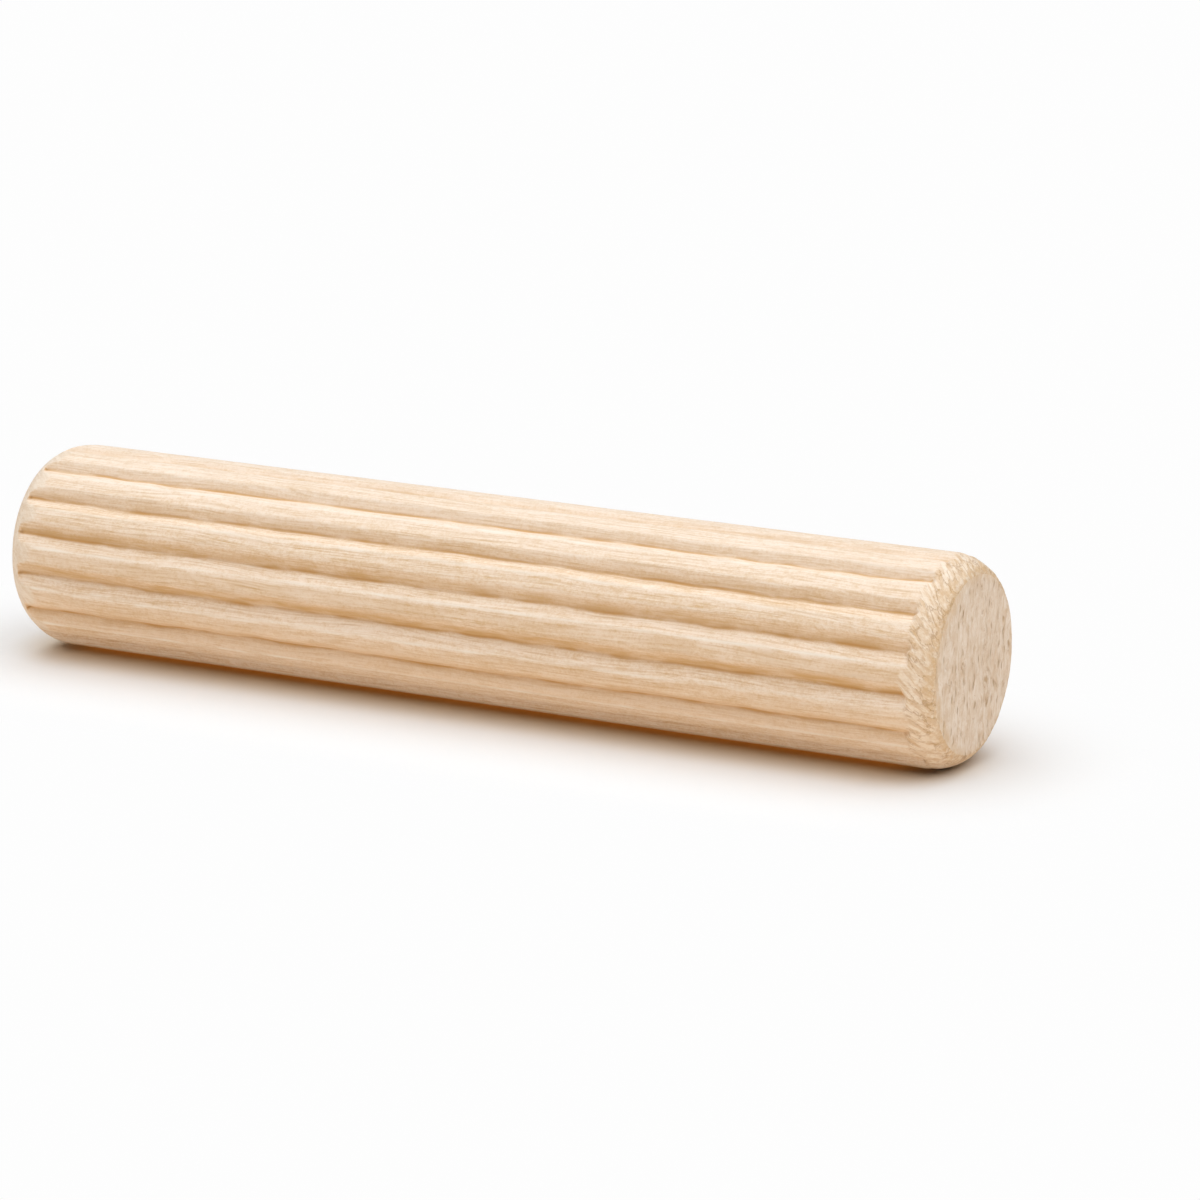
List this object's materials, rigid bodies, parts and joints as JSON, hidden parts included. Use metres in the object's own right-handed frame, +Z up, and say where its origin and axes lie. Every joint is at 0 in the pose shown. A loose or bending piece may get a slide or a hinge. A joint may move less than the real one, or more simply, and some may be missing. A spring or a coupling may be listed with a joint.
{
  "type": "wooden dowel pin",
  "caption": "Short fluted hardwood dowel pin with rounded shoulders and flat ends, glued into matching holes to line up and join two boards.",
  "frame": {"origin": "on the surface that the pin lies on, straight under the middle of its length; the pin's own axis is 3 mm above it", "axes": "+X along the pin's axis, +Z up, and a land between two flutes straight down"},
  "size_m": [0.03, 0.006, 0.006],
  "materials": {
    "beech": "bare, dry and unfinished, with fine straight grain"
  },
  "bodies": {
    "root": {"dowel_pin": "beech"}
  },
  "joints": []
}
